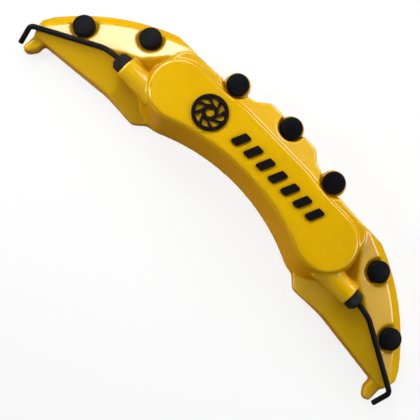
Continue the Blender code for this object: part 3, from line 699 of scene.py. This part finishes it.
def sheet_outline(line, thickness, steps=6):
    """The side view of a bent sheet: its path's rounded bends, offset to both faces."""
    path = [line[0][:2]]
    for (before, here, after) in zip(line, line[1:], line[2:]):
        radius = here[2]
        p = Vector(here[:2])
        back = (Vector(before[:2]) - p).normalized()
        ahead = (Vector(after[:2]) - p).normalized()
        half = back.angle(ahead) / 2
        centre = p + (back + ahead).normalized() * radius / math.sin(half)
        start = p + back * radius / math.tan(half) - centre
        turn = (math.pi - 2 * half) * (1 if back.cross(ahead) < 0 else -1)
        for k in range(steps + 1):
            path.append(tuple(centre + Matrix.Rotation(turn * k / steps, 2) @ start))
    path.append(line[-1][:2])
    sides = ([], [])
    for i, point in enumerate(path):
        ahead = Vector(path[min(i + 1, len(path) - 1)]) - Vector(path[max(i - 1, 0)])
        normal = Vector((-ahead.y, ahead.x)).normalized()
        for side, sign in zip(sides, (1, -1)):
            side.append(Vector(point) + normal * sign * thickness / 2)
    return sides[0] + sides[1][::-1]


def clip_blank(name, low, high, arm_end, line):
    """The bent sheet, with the corners of its arm and its foot rounded."""
    outline = sheet_outline(line, SHEET)
    bm = bmesh.new()
    ends = [[bm.verts.new((x, y, z)) for y, z in outline] for x in (low.x, high.x)]
    bridge(bm, *ends)
    count = len(outline)
    for rim in ends:
        for i in range(count // 2 - 1):
            bm.faces.new((rim[i], rim[i + 1], rim[count - 2 - i], rim[count - 1 - i]))
    clip = loose_object(name, bm)
    bm = bmesh.new()
    bm.from_mesh(clip.data)
    tips = []
    foot_end = line[-1][0]
    for edge in bm.edges:
        a, b = (v.co for v in edge.verts)
        at_side = min(abs(a.x - low.x), abs(a.x - high.x)) < WELD and abs(a.x - b.x) < WELD
        at_end = abs(a.y - arm_end) < WELD or abs(a.y - foot_end) < WELD
        if at_side and at_end and abs(a.y - b.y) < WELD:
            tips.append(edge)
    bmesh.ops.bevel(bm, geom=tips, offset=CLIP_CORNER, segments=6, profile=0.5, affect="EDGES")
    bm.to_mesh(clip.data)
    bm.free()
    return clip


def slot_cutter(centre_x, centre_y, sheet_z):
    bm = bmesh.new()
    rings = []
    for z in (sheet_z - SLOT_CUT, sheet_z + SLOT_CUT):
        ring = []
        for start, shift in ((0.0, SLOT_REACH), (math.pi, -SLOT_REACH)):
            for angle in np.linspace(start, start + math.pi, 17):
                y = centre_y + shift + SLOT_RADIUS * math.sin(angle)
                ring.append(bm.verts.new((centre_x + SLOT_RADIUS * math.cos(angle), y, z)))
        rings.append(ring)
    bridge(bm, *rings)
    for ring in rings:
        bm.faces.new(ring)
    return loose_object("slot", bm)


def slotted_clip(number, mat):
    """The bent stainless clip: slotted arm, leg and turned-in foot with rounded corners."""
    node = f"bracket_{number}"
    low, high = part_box(node)
    post = box_middle(*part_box(f"bracket_screw_{number}"))
    way = 1 if high.y - post.y > post.y - low.y else -1
    arm_end, leg = (low.y, high.y) if way > 0 else (high.y, low.y)
    top, foot = high.z - SHEET / 2, low.z + SHEET / 2
    leg -= way * SHEET / 2
    foot_end = leg - way * FOOT_LENGTH
    line = [(arm_end, top, 0.0), (leg, top, LEG_BEND), (leg, foot, FOOT_BEND), (foot_end, foot, 0.0)]
    clip = clip_blank(node + "_work", low, high, arm_end, line)
    combine(clip, slot_cutter((low.x + high.x) / 2, post.y, top), "DIFFERENCE")
    add_bevel(clip, CLIP_EDGE, 2, 40.0)
    bake_modifiers(clip)
    new_piece(f"slotted_clip_{number}", take_mesh(clip, 40.0), f"clip_{number}", mat, node)


def plain_washer(number, mat):
    """A flat washer with rounded edges."""
    node = f"bracket_washer_{number}"
    low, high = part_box(node)
    height = high.z - low.z
    edge = WASHER_EDGE
    inner, outer = WASHER_BORE + edge, (high.x - low.x) / 2 - edge
    profile = corner(inner, height - edge, edge, 180, 90, 3)
    profile += corner(outer, height - edge, edge, 90, 0, 3)
    profile += corner(outer, edge, edge, 0, -90, 3)
    profile += corner(inner, edge, edge, 270, 180, 3)
    profile += [(WASHER_BORE, height - edge)]
    obj = turned(node + "_work", profile)
    obj.data.transform(Matrix.Translation(box_middle(low, high)))
    new_piece(f"plain_washer_{number}", take_mesh(obj), f"washer_{number}", mat, node)


def screw_profile(head_radius, length):
    """The screw's outline from the shank's tip to the middle of its crown."""
    root = SHANK_RADIUS - THREAD_DEPTH
    edge_radius = head_radius - SCREW_HEAD_EDGE
    dome_reach, dome_height = SCREW_DOME
    tip_loss, tip_length = SHANK_TIP
    profile = [(0.0, length), (root - tip_loss, length), (root, length - tip_length)]
    profile += [(root, SCREW_HEAD + SHANK_NECK), (SHANK_RADIUS, SCREW_HEAD), (edge_radius, SCREW_HEAD)]
    profile += corner(edge_radius, SCREW_HEAD - SCREW_HEAD_EDGE, SCREW_HEAD_EDGE, 90, 0, 3)[1:]
    profile += [(head_radius, dome_height)]
    for share in (0.2, 0.4, 0.6, 0.8, 1.0):
        angle = share * math.pi / 2
        radius = head_radius - dome_reach * (1 - math.cos(angle))
        profile.append((radius, dome_height * (1 - math.sin(angle))))
    return profile + [(0.0, 0.0)]


def pan_screw(number, mat):
    """The clamp screw: pan head with a cross recess, and a real helical thread on its shank."""
    node = f"bracket_screw_{number}"
    low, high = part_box(node)
    length = high.z - low.z
    screw = turned(node + "_work", screw_profile((high.x - low.x) / 2, length), 48)
    combine(screw, thread(SCREW_HEAD + THREAD_MARGIN, length - THREAD_MARGIN), "UNION")
    base, point, depth = RECESS
    for turn in (0.0, math.pi / 2):
        bm = bmesh.new()
        bmesh.ops.create_cone(bm, cap_ends=True, segments=4, radius1=base, radius2=point, depth=depth)
        bm.transform(Matrix.Rotation(math.pi / 4, 4, "Z"))
        bm.transform(Matrix.Diagonal((1.0, RECESS_NARROWING, 1.0, 1.0)))
        bm.transform(Matrix.Rotation(turn, 4, "Z"))
        combine(screw, loose_object("recess", bm), "DIFFERENCE")
    screw.data.transform(Matrix.Translation(box_middle(low, high)))
    new_piece(f"pan_screw_{number}", take_mesh(screw, 32.0), f"screw_{number}", mat, node)


def thread(start, end):
    """A closed helical ridge between two heights."""
    root = SHANK_RADIUS - THREAD_DEPTH
    foot = root - THREAD_ROOTED
    count = int((end - start) / THREAD_PITCH * THREAD_STEPS)
    bm = bmesh.new()
    rows = []
    for i in range(count + 1):
        angle = 2 * math.pi * i / THREAD_STEPS
        z = start + (end - start) * i / count
        tip = root + THREAD_DEPTH * min(1.0, i / THREAD_FADE, (count - i) / THREAD_FADE)
        spoke = Vector((math.cos(angle), math.sin(angle), 0.0))
        section = [
            (foot, -THREAD_HALF_FOOT), (tip, -THREAD_HALF_CREST), (tip, THREAD_HALF_CREST),
            (foot, THREAD_HALF_FOOT),
        ]
        rows.append([bm.verts.new(spoke * radius + Vector((0, 0, z + dz))) for radius, dz in section])
    for a, b in zip(rows, rows[1:]):
        bridge(bm, a, b)
    bm.faces.new(rows[0])
    bm.faces.new(rows[-1])
    return loose_object("thread", bm)


def adhesive_pad(side, mat):
    """The foam pad: die-cut, its sides a little drawn in, its free face slightly crowned and uneven."""
    node = f"foam_pad_{side}"
    low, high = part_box(node)
    work = welded(node)
    add_remesh(work, PAD_VOXEL)
    add_smoothing(work, PAD_PASSES)
    bake_modifiers(work)
    middle = (low + high) / 2
    height = high.z - low.z
    for v in work.data.vertices:
        level = (v.co.z - low.z) / height
        waist = 1.0 - PAD_WAIST * math.sin(math.pi * min(1.0, max(0.0, level)))
        v.co.x = middle.x + (v.co.x - middle.x) * waist
        v.co.y = middle.y + (v.co.y - middle.y) * waist
        rate_x, rate_y = PAD_WAVE_RATES
        wave = math.sin(v.co.x * rate_x) * math.sin(v.co.y * rate_y + PAD_WAVE_SHIFT)
        v.co.z += (1.0 - level) * (PAD_CROWN + PAD_WAVE * wave)
    new_piece(f"adhesive_pad_{side}", take_mesh(work, 60.0), "cover", mat, node)


# ---------------------------------------------------------------- stage

def soft_light(name, at, size, power, aim, spread):
    """A square softbox, whose grid narrows its light to spread degrees."""
    data = bpy.data.lights.new(name, "AREA")
    data.shape = "SQUARE"
    data.size = size
    data.energy = power
    data.spread = math.radians(spread)
    obj = linked_object(name, data)
    obj.location = at
    obj.rotation_euler = (Vector(aim) - Vector(at)).to_track_quat("-Z", "Y").to_euler()
    obj.visible_camera = False


def sky(world):
    """Studio surroundings: bright low down, dim overhead, where the flat faces mirror them."""
    world.use_nodes = True
    tree = world.node_tree
    coords = tree.nodes.new("ShaderNodeTexCoord")
    split = tree.nodes.new("ShaderNodeSeparateXYZ")
    tree.links.new(coords.outputs["Generated"], split.inputs["Vector"])
    fade = tree.nodes.new("ShaderNodeMapRange")
    low, high = SKY_FADE
    for key, value in (("From Min", low), ("From Max", high), ("To Min", SKY_LOW), ("To Max", SKY_TOP)):
        fade.inputs[key].default_value = value
    tree.links.new(split.outputs["Z"], fade.inputs["Value"])
    background = tree.nodes["Background"]
    background.inputs["Color"].default_value = (1.0, 1.0, 1.0, 1.0)
    tree.links.new(fade.outputs["Result"], background.inputs["Strength"])


def stage():
    bm = bmesh.new()
    bmesh.ops.create_grid(bm, x_segments=1, y_segments=1, size=FLOOR_SIZE)
    floor = loose_object("floor", bm)
    floor.data.materials.append(floor_paint())
    world = bpy.data.worlds.new("studio")
    sky(world)
    bpy.context.scene.world = world
    for lamp in LAMPS:
        soft_light(*lamp)
    bpy.context.scene.view_settings.view_transform = "Standard"


def camera():
    """Looks down on the face, turned so that the cover runs down to the right and fills the frame."""
    low, high = CAD_BOX
    back = (CAMERA_AT - (low + high) / 2).normalized()
    right = IMAGE_UP.cross(back).normalized()
    up = back.cross(right)
    points = np.concatenate([unique_points(node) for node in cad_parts]) - np.array(CAMERA_AT)
    depth = -points @ np.array(back)
    spans = []
    for axis in (right, up):
        offsets = points @ np.array(axis) / depth
        spans.append((offsets.min(), offsets.max()))
    half = max(last - first for first, last in spans) / 2
    data = bpy.data.cameras.new("camera")
    data.sensor_width = SENSOR
    data.lens = data.sensor_width / 2 / (half / FRAME_FILL)
    data.shift_x = sum(spans[0]) / 4 / half * FRAME_FILL
    data.shift_y = sum(spans[1]) / 4 / half * FRAME_FILL
    data.clip_start = 0.01
    obj = linked_object("camera", data)
    turn = Matrix((right, up, back)).transposed().to_4x4()
    obj.matrix_world = Matrix.Translation(CAMERA_AT) @ turn
    bpy.context.scene.camera = obj


# ---------------------------------------------------------------- build

def build():
    yellow = yellow_plastic()
    bolt_black = black_plastic("bolt_black", BOLT_BLACK, 0.38, 0.52, 900.0)
    pipe_black = black_plastic("pipe_black", TRIM_BLACK, 0.32, 0.44, 1200.0)
    nut_black = black_plastic("nut_black", TRIM_BLACK, 0.36, 0.5, 1000.0)
    ink = emblem_ink()
    clip_steel = brushed_steel("clip_steel", (1.0, 0.06, 0.06))
    screw_steel = brushed_steel("screw_steel", (0.4, 0.4, 1.0))
    foam = pad_foam()

    cover_moulding(yellow)
    for number in range(1, BOLTS + 1):
        bolt_head(number, bolt_black)
    for side in ("left", "right"):
        dummy_pipe(side, pipe_black)
        hexagon_nut(side, nut_black)
        adhesive_pad(side, foam)
    keep_graphic("emblem_disc", ink)
    for number in range(1, STRIPES + 1):
        keep_graphic(f"emblem_stripe_{number}", ink)
    for number in range(1, CLIPS + 1):
        slotted_clip(number, clip_steel)
        plain_washer(number, screw_steel)
        pan_screw(number, screw_steel)


build()
stage()
camera()
